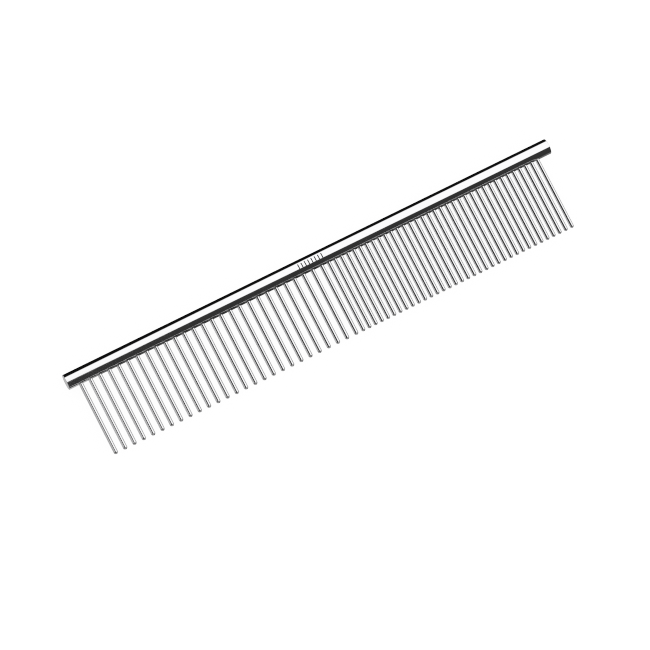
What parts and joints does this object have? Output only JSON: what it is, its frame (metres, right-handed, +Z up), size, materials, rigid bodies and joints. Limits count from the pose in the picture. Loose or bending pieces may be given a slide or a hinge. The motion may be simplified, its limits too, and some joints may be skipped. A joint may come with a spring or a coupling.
{
  "type": "grooming comb",
  "caption": "Straight steel grooming comb: a round bar with a row of round-tipped steel pins, widely spaced along half of it and closely spaced along the other half.",
  "frame": {"origin": "centre of the bottom of the bounding box, with the comb lying flat", "axes": "+X along the bar, from the coarse end to the fine end; +Y from the tooth tips to the back of the bar; +Z up, across the comb's thickness"},
  "size_m": [0.19, 0.0324, 0.0056],
  "materials": {
    "bar_steel": "bright polished plating, with fine lengthwise polishing lines",
    "pin_steel": "bright polished wire"
  },
  "bodies": {
    "root": {"spine_bar": "bar_steel", "coarse_tooth_01": "pin_steel", "coarse_tooth_02": "pin_steel", "coarse_tooth_03": "pin_steel", "coarse_tooth_04": "pin_steel", "coarse_tooth_05": "pin_steel", "coarse_tooth_06": "pin_steel", "coarse_tooth_07": "pin_steel", "coarse_tooth_08": "pin_steel", "coarse_tooth_09": "pin_steel", "coarse_tooth_10": "pin_steel", "coarse_tooth_11": "pin_steel", "coarse_tooth_12": "pin_steel", "coarse_tooth_13": "pin_steel", "coarse_tooth_14": "pin_steel", "coarse_tooth_15": "pin_steel", "coarse_tooth_16": "pin_steel", "coarse_tooth_17": "pin_steel", "coarse_tooth_18": "pin_steel", "coarse_tooth_19": "pin_steel", "coarse_tooth_20": "pin_steel", "coarse_tooth_21": "pin_steel", "coarse_tooth_22": "pin_steel", "coarse_tooth_23": "pin_steel", "coarse_tooth_24": "pin_steel", "coarse_tooth_25": "pin_steel", "coarse_tooth_26": "pin_steel", "coarse_tooth_27": "pin_steel", "fine_teeth_01_05": "pin_steel", "fine_teeth_06_10": "pin_steel", "fine_teeth_11_15": "pin_steel", "fine_teeth_16_20": "pin_steel", "fine_teeth_21_25": "pin_steel", "fine_teeth_26_30": "pin_steel", "fine_teeth_31_35": "pin_steel"}
  },
  "joints": []
}
